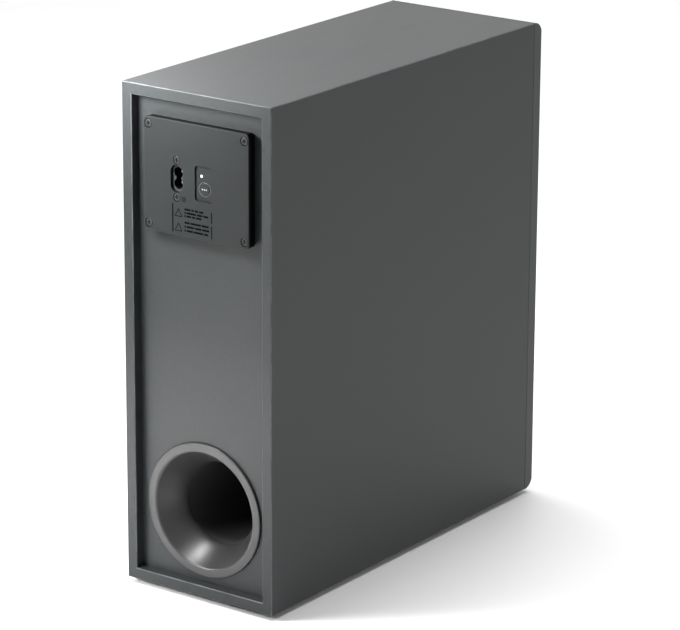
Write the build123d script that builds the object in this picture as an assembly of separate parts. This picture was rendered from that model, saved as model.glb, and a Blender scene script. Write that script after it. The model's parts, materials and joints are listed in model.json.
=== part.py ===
from build123d import *
import os
from math import atan, cos, pi, radians, sin, sqrt, tan

# A slim wireless subwoofer, as sold with a soundbar. Millimetres. The front (grille) faces -Y, the rear
# panel with the mains inlet and the bass port faces +Y, and the rubber feet stand on z = 0.

# ---------------------------------------------------------------- driving dimensions
WIDTH = 140.0             # X, outside of the cabinet
DEPTH = 360.0             # Y, face of the grille frame to the rear edge of the cabinet
HEIGHT = 400.0            # Z, floor to the top board
FOOT_HEIGHT = 4.0
WALL = 9.0                # cabinet boards, mitred at the four long corners
EDGE_BEVEL = 0.6          # small bevel on the wrapped board edges

GRILLE_DEPTH = 11.0       # grille frame, front to back
GRILLE_ROUND = 10.6       # radius of its upper and lower front edges
GRILLE_SEAM = 0.5         # open seam between the grille frame and the cabinet

REAR_RECESS = 8.4         # the rear baffle sits this far inside the rear edge
REAR_BAFFLE = 12.0        # its thickness
FRONT_BAFFLE = 15.0

PORT_Z = 71.8             # bass port axis
PORT_RIM_RADIUS = 54.0
PORT_RIM_HEIGHT = 2.0     # how far the rim stands out of the rear baffle
PORT_MOUTH_RADIUS = 48.4   # inner edge of the flat rim, where the bell rolls in
PORT_BORE_RADIUS = 33.0
PORT_TUBE_WALL = 2.0
PORT_FLARE_DEPTH = 23.2    # rim face to throat
PORT_TUBE_END = 26.0      # y of the tube's inner end

AMP_Z = 332.8             # centre of the amplifier plate
AMP_WIDTH = 98.5
AMP_HEIGHT = 87.8
AMP_CORNER = 3.5
AMP_STAND = 8.4           # plate face above the rear baffle
PLATE = 3.0               # plate thickness
AMP_SCREW_X = 45.0
AMP_SCREW_Z = 38.35       # from the plate's centre
TUB_WIDTH = 80.0          # the amplifier tub behind the baffle
TUB_HEIGHT = 67.0
TUB_WALL = 2.0
TUB_FLOOR = 100.0         # y of the tub's inner end

INLET_X = 18.2            # mains inlet, two-pole, pins 8.6 apart one above the other
INLET_Z = 332.6
INLET_LENGTH = 21.4
INLET_BREADTH = 11.5
INLET_SUNK = 2.6          # inlet face below the plate face
PIN_PITCH = 8.6
PIN_RADIUS = 1.2
LOBE_RADIUS = 4.2
SOCKET_DEPTH = 12.0
INLET_SCREW_Z = 14.25     # from the inlet's centre

PANEL_X = -7.45           # sunk control panel with the button and the lamp
PANEL_Z = 332.1
PANEL_WIDTH = 17.1
PANEL_HEIGHT = 27.0
PANEL_SUNK = 1.2
BUTTON_X = -7.3
BUTTON_Z = 328.1
BUTTON_RADIUS = 4.75
BUTTON_TRAVEL = 0.5
LAMP_X = -4.5
LAMP_Z = 337.9
LAMP_RADIUS = 1.0

WOOFER_Z = 215.0
WOOFER_FRAME_RADIUS = 57.0
CONE_RADIUS = 40.0
COIL_RADIUS = 12.4
CONE_TRAVEL = 5.0

# ---------------------------------------------------------------- planes worked out from them
REAR = DEPTH / 2
FRONT = -DEPTH / 2
CABINET_FRONT = FRONT + GRILLE_DEPTH + GRILLE_SEAM
BAFFLE_FACE = REAR - REAR_RECESS
BAFFLE_BACK = BAFFLE_FACE - REAR_BAFFLE
INNER_X = WIDTH / 2 - WALL
FLOOR_Z = FOOT_HEIGHT + WALL
CEILING_Z = HEIGHT - WALL
MIDDLE_Z = (FOOT_HEIGHT + HEIGHT) / 2
PLATE_FACE = BAFFLE_FACE + AMP_STAND
PLATE_BACK = PLATE_FACE - PLATE
INLET_FACE = PLATE_FACE - INLET_SUNK
PANEL_FACE = PLATE_FACE - PANEL_SUNK
BOARD_BACK = 142.6        # main circuit board, the side that faces the plate
BOARD = 1.6
BOARD_FACE = BOARD_BACK - BOARD
SMALL_BOARD_BACK = 169.9  # the button's own circuit board

# feet and their screws
FOOT_X = 42.0
FOOT_Y = 145.0
FOOT_TOP_RADIUS = 10.0
FOOT_BASE_RADIUS = 9.0
FOOT_SCREW_RADIUS = 1.6
FOOT_POCKET = 2.0          # depth of the pocket for the screw's head
FOOT_PILOT = 7.0           # depth of the pilot hole in the bottom board
PILOT_GAP = 0.05

# the window brace inside
BRACE_Y = (15.5, 24.5)
BRACE_BORDER = 14.0
BRACE_BARS = ((110.0, 122.0), (284.0, 296.0))

# fibre pads
WADDING = 12.0

# grille frame, cloth and pegs
GRILLE_BORDER_X = 9.0
GRILLE_BORDER_Z = 18.0
CLOTH_SUNK = 1.0
CLOTH = 0.8
LEDGE = 3.0
RIB_HEIGHTS = (130.0, 300.0)
RIB = 10.0
PEG_X = 45.0
PEG_RADIUS = 2.6
PEG_LENGTH = 8.0
SOCKET_RADIUS = 4.5
SOCKET_LENGTH = 10.0
CLOTH_HALF_X = WIDTH / 2 - GRILLE_BORDER_X
CLOTH_Z = (FOOT_HEIGHT + GRILLE_BORDER_Z, HEIGHT - GRILLE_BORDER_Z)
CLOTH_FACE = FRONT + CLOTH_SUNK

# port rim and sleeve
PORT_GASKET = 0.4
PORT_RIM_EDGE = 1.0        # outer round of the rim
PORT_ROLL = 3.0            # radius of the roll from the rim into the bell
PORT_BELL_SLOPE = 60.0     # degrees from the rim's face where the bell leaves the roll
PORT_SLEEVE_END = 136.0
PORT_SLEEVE_WALL = 1.8
PORT_SHELL_FOOT = 48.6     # outer radius of the bell where it meets the rim's foot
PORT_THROAT_PULL = 4.0     # how far the bell's curves follow the bore at the throat
PORT_BELL_PULL = 9.6       # and the first slope: the inner curve
PORT_SHELL_PULL = 9.0      # and the outer one

# amplifier tub and boards
AMP_GASKET = 1.0
SCREW_POCKET = 3.5
BOARD_POST_X = 33.0
BOARD_POST_Z = 27.0
SMALL_POSTS = ((-14.5, 343.5), (-1.0, 320.5))
GROMMET_X = -24.0
GROMMET_Z = 310.0
LEAD_RADIUS = 1.1
LEAD_HALF_GAP = 2.5

# mains inlet moulding
INLET_FLANGE = 3.0
INLET_BACK = 159.7
SOCKET_FLOOR = INLET_FACE - SOCKET_DEPTH
PIN_TIP = INLET_FACE - 4.3
PIN_NECK_RADIUS = 1.0

# button and switch
BUTTON_PROUD = 0.4
BUTTON_FLANGE = 1.2
BUTTON_FLANGE_RADIUS = 5.8
BUTTON_STOP = PLATE_BACK - 0.1
SWITCH_TOP = 173.4
PLUNGER_SUNK = 0.9         # how far the plunger stands in the switch at rest

# transformer: place, middle leg (x, y), half sizes
TRANSFORMER = (18.0, BOARD_FACE - 11.0, AMP_Z + 14.2)
CORE_LEG = (8.0, 14.0)
CORE_HALF_X = 15.0
CORE_HALF_Z = 13.0
WINDING_HALF = (9.8, 11.0, 7.8)

# woofer leads
LEAD_START = 127.0
LEAD_END = -126.5
CLIP_X = -22.0
CLIP_Y = (16.5, 20.5)
LEAD_CLIP_Z = BRACE_BARS[1][1] + 3.5
TERMINAL_Z = WOOFER_Z + 48.0
LEAD_ROUTE = [
    (GROMMET_X, LEAD_START, GROMMET_Z),
    (GROMMET_X, 78.0, GROMMET_Z),
    (CLIP_X, 40.0, LEAD_CLIP_Z),
    (CLIP_X, -10.0, LEAD_CLIP_Z),
    (-15.0, -50.0, 289.0),
    (-4.0, -87.0, 271.0),
    (0.0, LEAD_END, TERMINAL_Z),
]

# woofer: planes along Y, from its frame backwards
FRAME_FACE = CABINET_FRONT
FRAME_FLANGE = 3.0
FRAME_BACK = FRAME_FACE + FRAME_FLANGE
SEAL = 0.8
SEAL_BACK = FRAME_BACK + SEAL
WOOFER_CUTOUT_RADIUS = 50.2
WOOFER_SCREW_XZ = 54.4 / sqrt(2)
BASKET_END = FRAME_FACE + 48.5
LEDGE_FACE = BASKET_END - 13.0
PLATE_END = BASKET_END + 5.0
MAGNET_END = PLATE_END + 15.0
YOKE_END = MAGNET_END + 5.0
NECK_FACE = FRAME_FACE + 25.5
RIM_FACE = FRAME_FACE + 0.2
NECK_RADIUS = COIL_RADIUS + 0.4
CAP_RADIUS = 18.0


# ---------------------------------------------------------------- helpers
def slab_y(outline, y_low, y_high):
    """The outline, drawn as (x, z), extruded from y_low to y_high."""
    return extrude(Plane.XZ.offset(-y_high) * outline, amount=y_high - y_low, dir=(0, -1, 0))


def rod_y(x, z, radius, y_low, y_high):
    """A round bar along Y."""
    return slab_y(Pos(x, z) * Circle(radius), y_low, y_high)


def block(x_span, y_span, z_span):
    """A box between two corners, given as three (low, high) spans."""
    size = [high - low for low, high in (x_span, y_span, z_span)]
    centre = [(high + low) / 2 for low, high in (x_span, y_span, z_span)]
    return Pos(*centre) * Box(*size)


def turned_y(points, z=0.0):
    """A closed (radius, y) outline turned about the Y-parallel axis at height z."""
    return Pos(0, 0, z) * revolve(make_face(Polyline(*points, close=True)), Axis.Y)


def rounded(width, height, radius, x=0.0, z=0.0):
    """A rectangle with round corners, drawn as (x, z)."""
    return Pos(x, z) * RectangleRounded(width, height, radius)


def upright_slot(length, breadth, x, z):
    """An oval slot with its long way upright, drawn as (x, z)."""
    return Pos(x, z) * Rot(0, 0, 90) * SlotOverall(length, breadth)


def cross_screw(head_radius, head_height, shank_radius, length):
    """A cross-head screw: the head's top at z = 0 facing +Z, the shank pointing down."""
    head = Pos(0, 0, -head_height / 2) * Cylinder(head_radius, head_height)
    head = fillet(head.edges().group_by(Axis.Z)[-1], 0.3 * head_height)
    shank_length = length - head_height
    shank = Pos(0, 0, -head_height - shank_length / 2) * Cylinder(shank_radius, shank_length)
    shank = chamfer(shank.edges().group_by(Axis.Z)[0], 0.5 * shank_radius)
    slot_length = 1.2 * head_radius
    slot_width = 0.28 * head_radius
    slot_depth = 0.7 * head_height
    slot = Pos(0, 0, -slot_depth / 2) * Box(slot_length, slot_width, slot_depth)
    return head + shank - slot - Rot(0, 0, 90) * slot


def facing_rear(solid, x, y, z):
    """Turns a solid that faces +Z to face +Y, and moves it to (x, y, z)."""
    return Pos(x, y, z) * Rot(-90, 0, 0) * solid


def facing_front(solid, x, y, z):
    """Turns a solid that faces +Z to face -Y, and moves it to (x, y, z)."""
    return Pos(x, y, z) * Rot(90, 0, 0) * solid


def corners(x, z):
    """The four (x, z) places at plus and minus each distance."""
    return [(side * x, level * z) for side in (-1, 1) for level in (-1, 1)]


def corner_radii(points):
    """The bend radius at each inner point of a lead's route."""
    radii = []
    for before, here, after in zip(points, points[1:], points[2:]):
        run_in = Vector(*here) - Vector(*before)
        run_out = Vector(*after) - Vector(*here)
        half_turn = radians(run_in.get_angle(run_out) / 2)
        radii.append(0.45 * min(run_in.length, run_out.length) / tan(half_turn))
    return radii


def lead(points, radius):
    """A round lead along straight runs joined by tangent arcs."""
    radii = corner_radii(points)
    path = FilletPolyline(*points, radius=radii)
    tube = sweep(Plane(path @ 0, z_dir=path % 0) * Circle(radius), path=path)
    expected = pi * radius**2 * path.length
    print(f"lead: radii {[round(r) for r in radii]}, volume ratio {tube.volume / expected:.4f}")
    return tube


# ---------------------------------------------------------------- cabinet
def mitred_board(half_length, face):
    """A board's section as (along, across) points: mitred at both ends, its outer side at across = face."""
    inner_half = half_length - WALL
    half_bevel = EDGE_BEVEL / 2
    left = [(-half_length + half_bevel, face - half_bevel), (-half_length + EDGE_BEVEL, face)]
    right = [(half_length - EDGE_BEVEL, face), (half_length - half_bevel, face - half_bevel)]
    return left + right + [(inner_half, face - WALL), (-inner_half, face - WALL)]


def bevel_rear(board, direction):
    """Bevels a board's outer and inner edges at the rear face."""
    edges = board.edges().filter_by(direction).group_by(Axis.Y)[-1]
    return chamfer(edges, EDGE_BEVEL)


def cabinet_boards():
    """Top, bottom, left and right boards."""
    half_width = WIDTH / 2
    half_height = (HEIGHT - FOOT_HEIGHT) / 2
    lying = mitred_board(half_width, half_height)
    standing = mitred_board(half_height, half_width)
    boards = {}
    for name, way in (("cabinet_top", 1), ("cabinet_bottom", -1)):
        outline = Polygon(*[(x, MIDDLE_Z + way * z) for x, z in lying], align=None)
        boards[name] = bevel_rear(slab_y(outline, CABINET_FRONT, REAR), Axis.X)
    for name, way in (("cabinet_right", 1), ("cabinet_left", -1)):
        outline = Polygon(*[(way * x, MIDDLE_Z + z) for z, x in standing], align=None)
        boards[name] = bevel_rear(slab_y(outline, CABINET_FRONT, REAR), Axis.Z)
    for x, y in corners(FOOT_X, FOOT_Y):
        pilot = Pos(x, y, FOOT_HEIGHT + FOOT_PILOT / 2) * Cylinder(FOOT_SCREW_RADIUS + PILOT_GAP, FOOT_PILOT)
        boards["cabinet_bottom"] -= pilot
    return boards


def feet():
    """Four rubber feet, each with a pocket for its screw head."""
    foot = Pos(0, 0, FOOT_HEIGHT / 2) * Cone(FOOT_BASE_RADIUS, FOOT_TOP_RADIUS, FOOT_HEIGHT)
    foot = fillet(foot.edges().group_by(Axis.Z)[0], 0.6)
    foot -= Pos(0, 0, FOOT_POCKET / 2) * Cylinder(3.8, FOOT_POCKET)
    foot -= Pos(0, 0, FOOT_HEIGHT / 2) * Cylinder(FOOT_SCREW_RADIUS + 0.1, FOOT_HEIGHT)
    return Compound([Pos(x, y, 0) * foot for x, y in corners(FOOT_X, FOOT_Y)])


def foot_screws():
    """The screws that hold the feet, heads down in the pockets."""
    head = 1.5
    screw = Rot(180, 0, 0) * cross_screw(3.2, head, FOOT_SCREW_RADIUS, 9.5)
    return Compound([Pos(x, y, FOOT_POCKET - head) * screw for x, y in corners(FOOT_X, FOOT_Y)])


def rear_baffle():
    """The sunk rear board, with the port's hole and the amplifier's cut-out."""
    board = block((-INNER_X, INNER_X), (BAFFLE_BACK, BAFFLE_FACE), (FLOOR_Z, CEILING_Z))
    board -= rod_y(0, PORT_Z, PORT_MOUTH_RADIUS + 0.6, BAFFLE_BACK, BAFFLE_FACE)
    board -= slab_y(rounded(TUB_WIDTH + 1, TUB_HEIGHT + 1, 3.5, z=AMP_Z), BAFFLE_BACK, BAFFLE_FACE)
    for x, z in corners(AMP_SCREW_X, AMP_SCREW_Z):
        board -= rod_y(x, AMP_Z + z, 1.65, BAFFLE_BACK, BAFFLE_FACE)
    return board


def front_baffle():
    """The driver's board, rebated for its frame, with the grille's socket holes."""
    back = CABINET_FRONT + FRONT_BAFFLE
    board = block((-INNER_X, INNER_X), (CABINET_FRONT, back), (FLOOR_Z, CEILING_Z))
    board -= rod_y(0, WOOFER_Z, WOOFER_CUTOUT_RADIUS, CABINET_FRONT, back)
    board -= rod_y(0, WOOFER_Z, WOOFER_FRAME_RADIUS + 0.4, CABINET_FRONT, SEAL_BACK)
    for x, z in peg_places():
        board -= rod_y(x, z, SOCKET_RADIUS, CABINET_FRONT, CABINET_FRONT + SOCKET_LENGTH)
    for x, z in corners(WOOFER_SCREW_XZ, WOOFER_SCREW_XZ):
        board -= rod_y(x, WOOFER_Z + z, 1.35, SEAL_BACK, back)
    return board


def cabinet_brace():
    """A window brace that ties the two large sides together and holds the port tube."""
    half_window = INNER_X - BRACE_BORDER
    brace = block((-INNER_X, INNER_X), BRACE_Y, (FLOOR_Z, CEILING_Z))
    low_bar, high_bar = BRACE_BARS
    windows = ((low_bar[1], high_bar[0]), (high_bar[1], CEILING_Z - BRACE_BORDER))
    for z_low, z_high in windows:
        outline = rounded(2 * half_window, z_high - z_low, 4.0, z=(z_low + z_high) / 2)
        brace -= slab_y(outline, *BRACE_Y)
    return brace - rod_y(0, PORT_Z, PORT_BORE_RADIUS + PORT_TUBE_WALL + 0.4, *BRACE_Y)


def damping_wadding():
    """Two fibre pads on the insides of the large boards."""
    pads = []
    for side in (-1, 1):
        spans = sorted((side * INNER_X, side * (INNER_X - WADDING)))
        pad = block(spans, (34.0, 148.0), (124.0, 286.0))
        pads.append(fillet(pad.edges().filter_by(Axis.X), 8.0))
    return Compound(pads)


# ---------------------------------------------------------------- grille


def peg_places():
    """Where the grille's pegs enter the front baffle, as (x, z)."""
    levels = [FLOOR_Z + 5.0, *RIB_HEIGHTS, CEILING_Z - 5.0]
    return [(side * PEG_X, z) for side in (-1, 1) for z in levels]


def grille_frame():
    """The front frame: round upper and lower edges, a ledge for the cloth, ribs and pegs."""
    back = FRONT + GRILLE_DEPTH
    half_width = WIDTH / 2
    frame = block((-half_width, half_width), (FRONT, back), (FOOT_HEIGHT, HEIGHT))
    frame = fillet(frame.edges().filter_by(Axis.X).group_by(Axis.Y)[0], GRILLE_ROUND)
    plan = block((-half_width, half_width), (FRONT, back), (FOOT_HEIGHT, HEIGHT))
    frame &= chamfer(plan.edges().filter_by(Axis.Z), EDGE_BEVEL)
    ledge_face = CLOTH_FACE + CLOTH
    frame -= block((-CLOTH_HALF_X, CLOTH_HALF_X), (FRONT, ledge_face), CLOTH_Z)
    through_x = CLOTH_HALF_X - LEDGE
    frame -= block((-through_x, through_x), (FRONT, back), (CLOTH_Z[0] + LEDGE, CLOTH_Z[1] - LEDGE))
    for z in RIB_HEIGHTS:
        frame += block((-through_x, through_x), (back - 5.0, back), (z - RIB / 2, z + RIB / 2))
    for x, z in peg_places():
        peg = rod_y(x, z, PEG_RADIUS, back - 1.0, back + PEG_LENGTH)
        frame += chamfer(peg.edges().group_by(Axis.Y)[-1], 0.6)
    return frame


def grille_cloth():
    """The cloth, stretched on the frame's ledge."""
    gap = 0.1
    z_span = (CLOTH_Z[0] + gap, CLOTH_Z[1] - gap)
    return block((-CLOTH_HALF_X + gap, CLOTH_HALF_X - gap), (CLOTH_FACE, CLOTH_FACE + CLOTH), z_span)


def grille_sockets():
    """Rubber cups in the front baffle that grip the grille's pegs."""
    sockets = []
    for x, z in peg_places():
        cup = rod_y(x, z, SOCKET_RADIUS - 0.05, CABINET_FRONT, CABINET_FRONT + SOCKET_LENGTH)
        sockets.append(cup - rod_y(x, z, PEG_RADIUS + 0.05, CABINET_FRONT, CABINET_FRONT + SOCKET_LENGTH - 1))
    return Compound(sockets)


# ---------------------------------------------------------------- bass port


def port_flare():
    """The rim and the bell mouth, with a sleeve that takes the tube."""
    rim_top = BAFFLE_FACE + PORT_RIM_HEIGHT
    rim_foot = BAFFLE_FACE + PORT_GASKET
    throat = rim_top - PORT_FLARE_DEPTH
    tube_radius = PORT_BORE_RADIUS + PORT_TUBE_WALL
    sleeve = tube_radius + PORT_SLEEVE_WALL
    slope = radians(PORT_BELL_SLOPE)

    def on_roll(turn):
        """A point of the roll, turned by an angle from the rim's face."""
        return (PORT_MOUTH_RADIUS - PORT_ROLL * sin(turn), rim_top - PORT_ROLL + PORT_ROLL * cos(turn))

    def along(point, distance):
        """A point farther down the bell's first slope."""
        return (point[0] - distance * cos(slope), point[1] - distance * sin(slope))

    start = on_roll(slope)
    foot = (PORT_SHELL_FOOT, rim_foot)
    pull = throat + PORT_THROAT_PULL
    inner = Bezier((PORT_BORE_RADIUS, throat), (PORT_BORE_RADIUS, pull), along(start, PORT_BELL_PULL), start)
    outer = Bezier((sleeve, throat), (sleeve, pull), along(foot, PORT_SHELL_PULL), foot)
    edge = 1 - sqrt(0.5)
    crown_middle = (PORT_RIM_RADIUS - edge * PORT_RIM_EDGE, rim_top - edge * PORT_RIM_EDGE)
    crown_end = (PORT_RIM_RADIUS - PORT_RIM_EDGE, rim_top)
    path = [
        Polyline((PORT_BORE_RADIUS, throat), (PORT_BORE_RADIUS, throat - 1.0), (tube_radius, throat - 1.0)),
        Polyline((tube_radius, throat - 1.0), (tube_radius, PORT_SLEEVE_END), (sleeve, PORT_SLEEVE_END)),
        Line((sleeve, PORT_SLEEVE_END), (sleeve, throat)),
        outer,
        Polyline(foot, (PORT_RIM_RADIUS, rim_foot), (PORT_RIM_RADIUS, rim_top - PORT_RIM_EDGE)),
        ThreePointArc((PORT_RIM_RADIUS, rim_top - PORT_RIM_EDGE), crown_middle, crown_end),
        Line(crown_end, on_roll(0)),
        ThreePointArc(on_roll(0), on_roll(slope / 2), start),
        inner,
    ]
    return Pos(0, 0, PORT_Z) * revolve(make_face(path), Axis.Y)


def port_tube():
    """The straight tube that tunes the box."""
    outer = PORT_BORE_RADIUS + PORT_TUBE_WALL - 0.05
    flare_end = BAFFLE_FACE + PORT_RIM_HEIGHT - PORT_FLARE_DEPTH - 1.0
    tube = rod_y(0, PORT_Z, outer, PORT_TUBE_END, flare_end - 0.3)
    tube -= rod_y(0, PORT_Z, PORT_BORE_RADIUS, PORT_TUBE_END, flare_end)
    return chamfer(tube.edges().group_by(Axis.Y)[0], 0.6)


def port_gasket():
    """A foam ring under the port's rim."""
    ring = rod_y(0, PORT_Z, PORT_RIM_RADIUS - 0.6, BAFFLE_FACE, BAFFLE_FACE + PORT_GASKET)
    return ring - rod_y(0, PORT_Z, PORT_MOUTH_RADIUS + 1.4, BAFFLE_FACE, BAFFLE_FACE + PORT_GASKET)


# ---------------------------------------------------------------- amplifier module


def amp_faceplate():
    """The plate seen from behind: pockets, inlet opening, sunk control panel and inside posts."""
    outline = rounded(AMP_WIDTH, AMP_HEIGHT, AMP_CORNER, z=AMP_Z)
    plate = slab_y(outline, PLATE_BACK, PLATE_FACE)
    plate = chamfer(plate.faces().sort_by(Axis.Y)[-1].edges(), 0.5)
    for x, z in corners(AMP_SCREW_X, AMP_SCREW_Z):
        plate -= rod_y(x, AMP_Z + z, SCREW_POCKET, PLATE_FACE - 1.8, PLATE_FACE)
        plate -= rod_y(x, AMP_Z + z, 1.9, PLATE_BACK, PLATE_FACE)
    for level in (-1, 1):
        screw_z = INLET_Z + level * INLET_SCREW_Z
        plate -= rod_y(INLET_X, screw_z, 3.3, PLATE_FACE - 1.6, PLATE_FACE)
        plate -= rod_y(INLET_X, screw_z, 1.6, PLATE_BACK, PLATE_FACE)
    plate -= slab_y(upright_slot(INLET_LENGTH, INLET_BREADTH, INLET_X, INLET_Z), PLATE_BACK, PLATE_FACE)
    panel = rounded(PANEL_WIDTH, PANEL_HEIGHT, 2.5, PANEL_X, PANEL_Z)
    plate -= slab_y(panel, PANEL_FACE, PLATE_FACE)
    plate -= rod_y(BUTTON_X, BUTTON_Z, BUTTON_RADIUS + 0.3, PLATE_BACK, PLATE_FACE)
    plate -= rod_y(LAMP_X, LAMP_Z, LAMP_RADIUS + 0.05, PLATE_BACK, PLATE_FACE)
    for x, z in corners(BOARD_POST_X, BOARD_POST_Z):
        plate += rod_y(x, AMP_Z + z, 3.0, BOARD_BACK, PLATE_BACK)
        plate -= rod_y(x, AMP_Z + z, 1.15, BOARD_BACK, BOARD_BACK + 8)
    for x, z in SMALL_POSTS:
        plate += rod_y(x, z, 2.2, SMALL_BOARD_BACK, PLATE_BACK)
        plate -= rod_y(x, z, 0.95, SMALL_BOARD_BACK, SMALL_BOARD_BACK + 5)
    return plate


def amp_housing():
    """The black tub that seals the electronics from the air in the cabinet."""
    rim_foot = BAFFLE_FACE + AMP_GASKET
    rim = rounded(AMP_WIDTH - 0.6, AMP_HEIGHT - 0.6, AMP_CORNER - 0.3, z=AMP_Z)
    tub = slab_y(rim, rim_foot, PLATE_BACK)
    tub += slab_y(rounded(TUB_WIDTH, TUB_HEIGHT, 3.0, z=AMP_Z), TUB_FLOOR, rim_foot)
    cavity = rounded(TUB_WIDTH - 2 * TUB_WALL, TUB_HEIGHT - 2 * TUB_WALL, 1.5, z=AMP_Z)
    tub -= slab_y(cavity, TUB_FLOOR + TUB_WALL, PLATE_BACK)
    for x, z in corners(AMP_SCREW_X, AMP_SCREW_Z):
        tub -= rod_y(x, AMP_Z + z, 1.9, rim_foot, PLATE_BACK)
    hole = Pos(GROMMET_X, GROMMET_Z) * SlotOverall(11.1, 6.1)
    return tub - slab_y(hole, TUB_FLOOR, TUB_FLOOR + TUB_WALL)


def amp_gasket():
    """A foam frame between the tub's rim and the rear baffle."""
    outline = rounded(AMP_WIDTH - 2, AMP_HEIGHT - 2, AMP_CORNER - 1, z=AMP_Z)
    frame = slab_y(outline, BAFFLE_FACE, BAFFLE_FACE + AMP_GASKET)
    opening = rounded(TUB_WIDTH + 1, TUB_HEIGHT + 1, 3.5, z=AMP_Z)
    frame -= slab_y(opening, BAFFLE_FACE, BAFFLE_FACE + AMP_GASKET)
    for x, z in corners(AMP_SCREW_X, AMP_SCREW_Z):
        frame -= rod_y(x, AMP_Z + z, 1.9, BAFFLE_FACE, BAFFLE_FACE + AMP_GASKET)
    return frame


def amp_screws():
    """The four screws at the plate's corners."""
    screw = cross_screw(3.0, 1.6, 1.6, 18.0)
    places = corners(AMP_SCREW_X, AMP_SCREW_Z)
    return Compound([facing_rear(screw, x, PLATE_FACE - 0.2, AMP_Z + z) for x, z in places])


def inlet_socket():
    """The inlet's moulding: a figure-eight socket with a screw flange behind the plate."""
    nose = upright_slot(INLET_LENGTH - 0.6, INLET_BREADTH - 0.6, INLET_X, INLET_Z)
    body = slab_y(nose, INLET_BACK, INLET_FACE)
    flange_outline = upright_slot(2 * INLET_SCREW_Z + 10, 12.0, INLET_X, INLET_Z)
    body += slab_y(flange_outline, PLATE_BACK - INLET_FLANGE, PLATE_BACK)
    for level in (-1, 1):
        z = INLET_Z + level * PIN_PITCH / 2
        body -= rod_y(INLET_X, z, LOBE_RADIUS, SOCKET_FLOOR, INLET_FACE)
        body -= rod_y(INLET_X, z, PIN_NECK_RADIUS + 0.02, INLET_BACK, INLET_FACE)
        body -= rod_y(INLET_X, INLET_Z + level * INLET_SCREW_Z, 1.45, PLATE_BACK - INLET_FLANGE, PLATE_BACK)
    waist = Pos(INLET_X, INLET_Z) * Rectangle(4.8, PIN_PITCH)
    return body - slab_y(waist, SOCKET_FLOOR, INLET_FACE)


def inlet_pins():
    """Two round pins, necked where the moulding holds them, with tails soldered into the main board."""
    shoulder = INLET_BACK - 1.5
    tail_end = BOARD_FACE - 1.5
    profile = [(0, PIN_TIP), (0.8, PIN_TIP), (PIN_RADIUS, PIN_TIP - 0.7), (PIN_RADIUS, SOCKET_FLOOR)]
    profile += [(PIN_NECK_RADIUS, SOCKET_FLOOR), (PIN_NECK_RADIUS, shoulder), (0.8, shoulder)]
    profile += [(0.8, tail_end), (0, tail_end)]
    pins = [turned_y(profile, INLET_Z + level * PIN_PITCH / 2) for level in (-1, 1)]
    return Compound([Pos(INLET_X, 0, 0) * pin for pin in pins])


def inlet_screws():
    """The two screws above and below the inlet."""
    screw = cross_screw(2.9, 1.4, 1.4, 7.0)
    levels = [INLET_Z + level * INLET_SCREW_Z for level in (-1, 1)]
    return Compound([facing_rear(screw, INLET_X, PLATE_FACE - 0.2, z) for z in levels])


def pair_button():
    """The round push button, held behind the plate by its flange."""
    face = PANEL_FACE + BUTTON_PROUD
    back = BUTTON_STOP - BUTTON_FLANGE
    profile = [(0, back), (BUTTON_FLANGE_RADIUS, back), (BUTTON_FLANGE_RADIUS, BUTTON_STOP)]
    profile.append((BUTTON_RADIUS, BUTTON_STOP))
    profile += [(BUTTON_RADIUS, face - 0.35), (BUTTON_RADIUS - 0.35, face), (0, face)]
    return Pos(BUTTON_X, 0, 0) * turned_y(profile, BUTTON_Z)


def switch_plunger():
    """The switch's plunger, which rides with the button."""
    return rod_y(BUTTON_X, BUTTON_Z, 1.75, SWITCH_TOP - PLUNGER_SUNK, BUTTON_STOP - BUTTON_FLANGE)


def tact_switch():
    """The switch's square body, with a well for the plunger."""
    half = 3.0
    spans = [(centre - half, centre + half) for centre in (BUTTON_X, BUTTON_Z)]
    body = block(spans[0], (SMALL_BOARD_BACK, SWITCH_TOP), spans[1])
    well_floor = SWITCH_TOP - PLUNGER_SUNK - BUTTON_TRAVEL - 0.3
    return body - rod_y(BUTTON_X, BUTTON_Z, 1.9, well_floor, SWITCH_TOP)


def button_board():
    """The small circuit board for the switch and the lamp."""
    board = block((-18.5, 2.5), (SMALL_BOARD_BACK - BOARD, SMALL_BOARD_BACK), (317.0, 347.0))
    for x, z in SMALL_POSTS:
        board -= rod_y(x, z, 1.1, SMALL_BOARD_BACK - BOARD, SMALL_BOARD_BACK)
    return board


def button_board_screws():
    """Two small screws into the plate's posts."""
    screw = cross_screw(1.9, 1.1, 0.9, 6.0)
    y = SMALL_BOARD_BACK - BOARD - 1.1
    return Compound([facing_front(screw, x, y, z) for x, z in SMALL_POSTS])


def status_led():
    """The lamp's light source on the small board."""
    x_span = (LAMP_X - 0.8, LAMP_X + 0.8)
    return block(x_span, (SMALL_BOARD_BACK, SMALL_BOARD_BACK + 0.8), (LAMP_Z - 0.6, LAMP_Z + 0.6))


def led_light_pipe():
    """A clear pin that brings the light to the panel's face."""
    start = SMALL_BOARD_BACK + 1.0
    face = PANEL_FACE + 0.15
    profile = [(0, start), (1.6, start), (1.6, PLATE_BACK - 0.05), (LAMP_RADIUS, PLATE_BACK - 0.05)]
    profile += [(LAMP_RADIUS, face - 0.2), (LAMP_RADIUS - 0.25, face), (0, face)]
    return Pos(LAMP_X, 0, 0) * turned_y(profile, LAMP_Z)


# ---------------------------------------------------------------- electronics in the tub
def main_board():
    """The amplifier's circuit board, on the plate's four posts."""
    board = block((-36, 36), (BOARD_FACE, BOARD_BACK), (AMP_Z - 29.5, AMP_Z + 29.5))
    for x, z in corners(BOARD_POST_X, BOARD_POST_Z):
        board -= rod_y(x, AMP_Z + z, 1.4, BOARD_FACE, BOARD_BACK)
    for level in (-1, 1):
        board -= rod_y(INLET_X, INLET_Z + level * PIN_PITCH / 2, 0.9, BOARD_FACE, BOARD_BACK)
    return board


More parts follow.
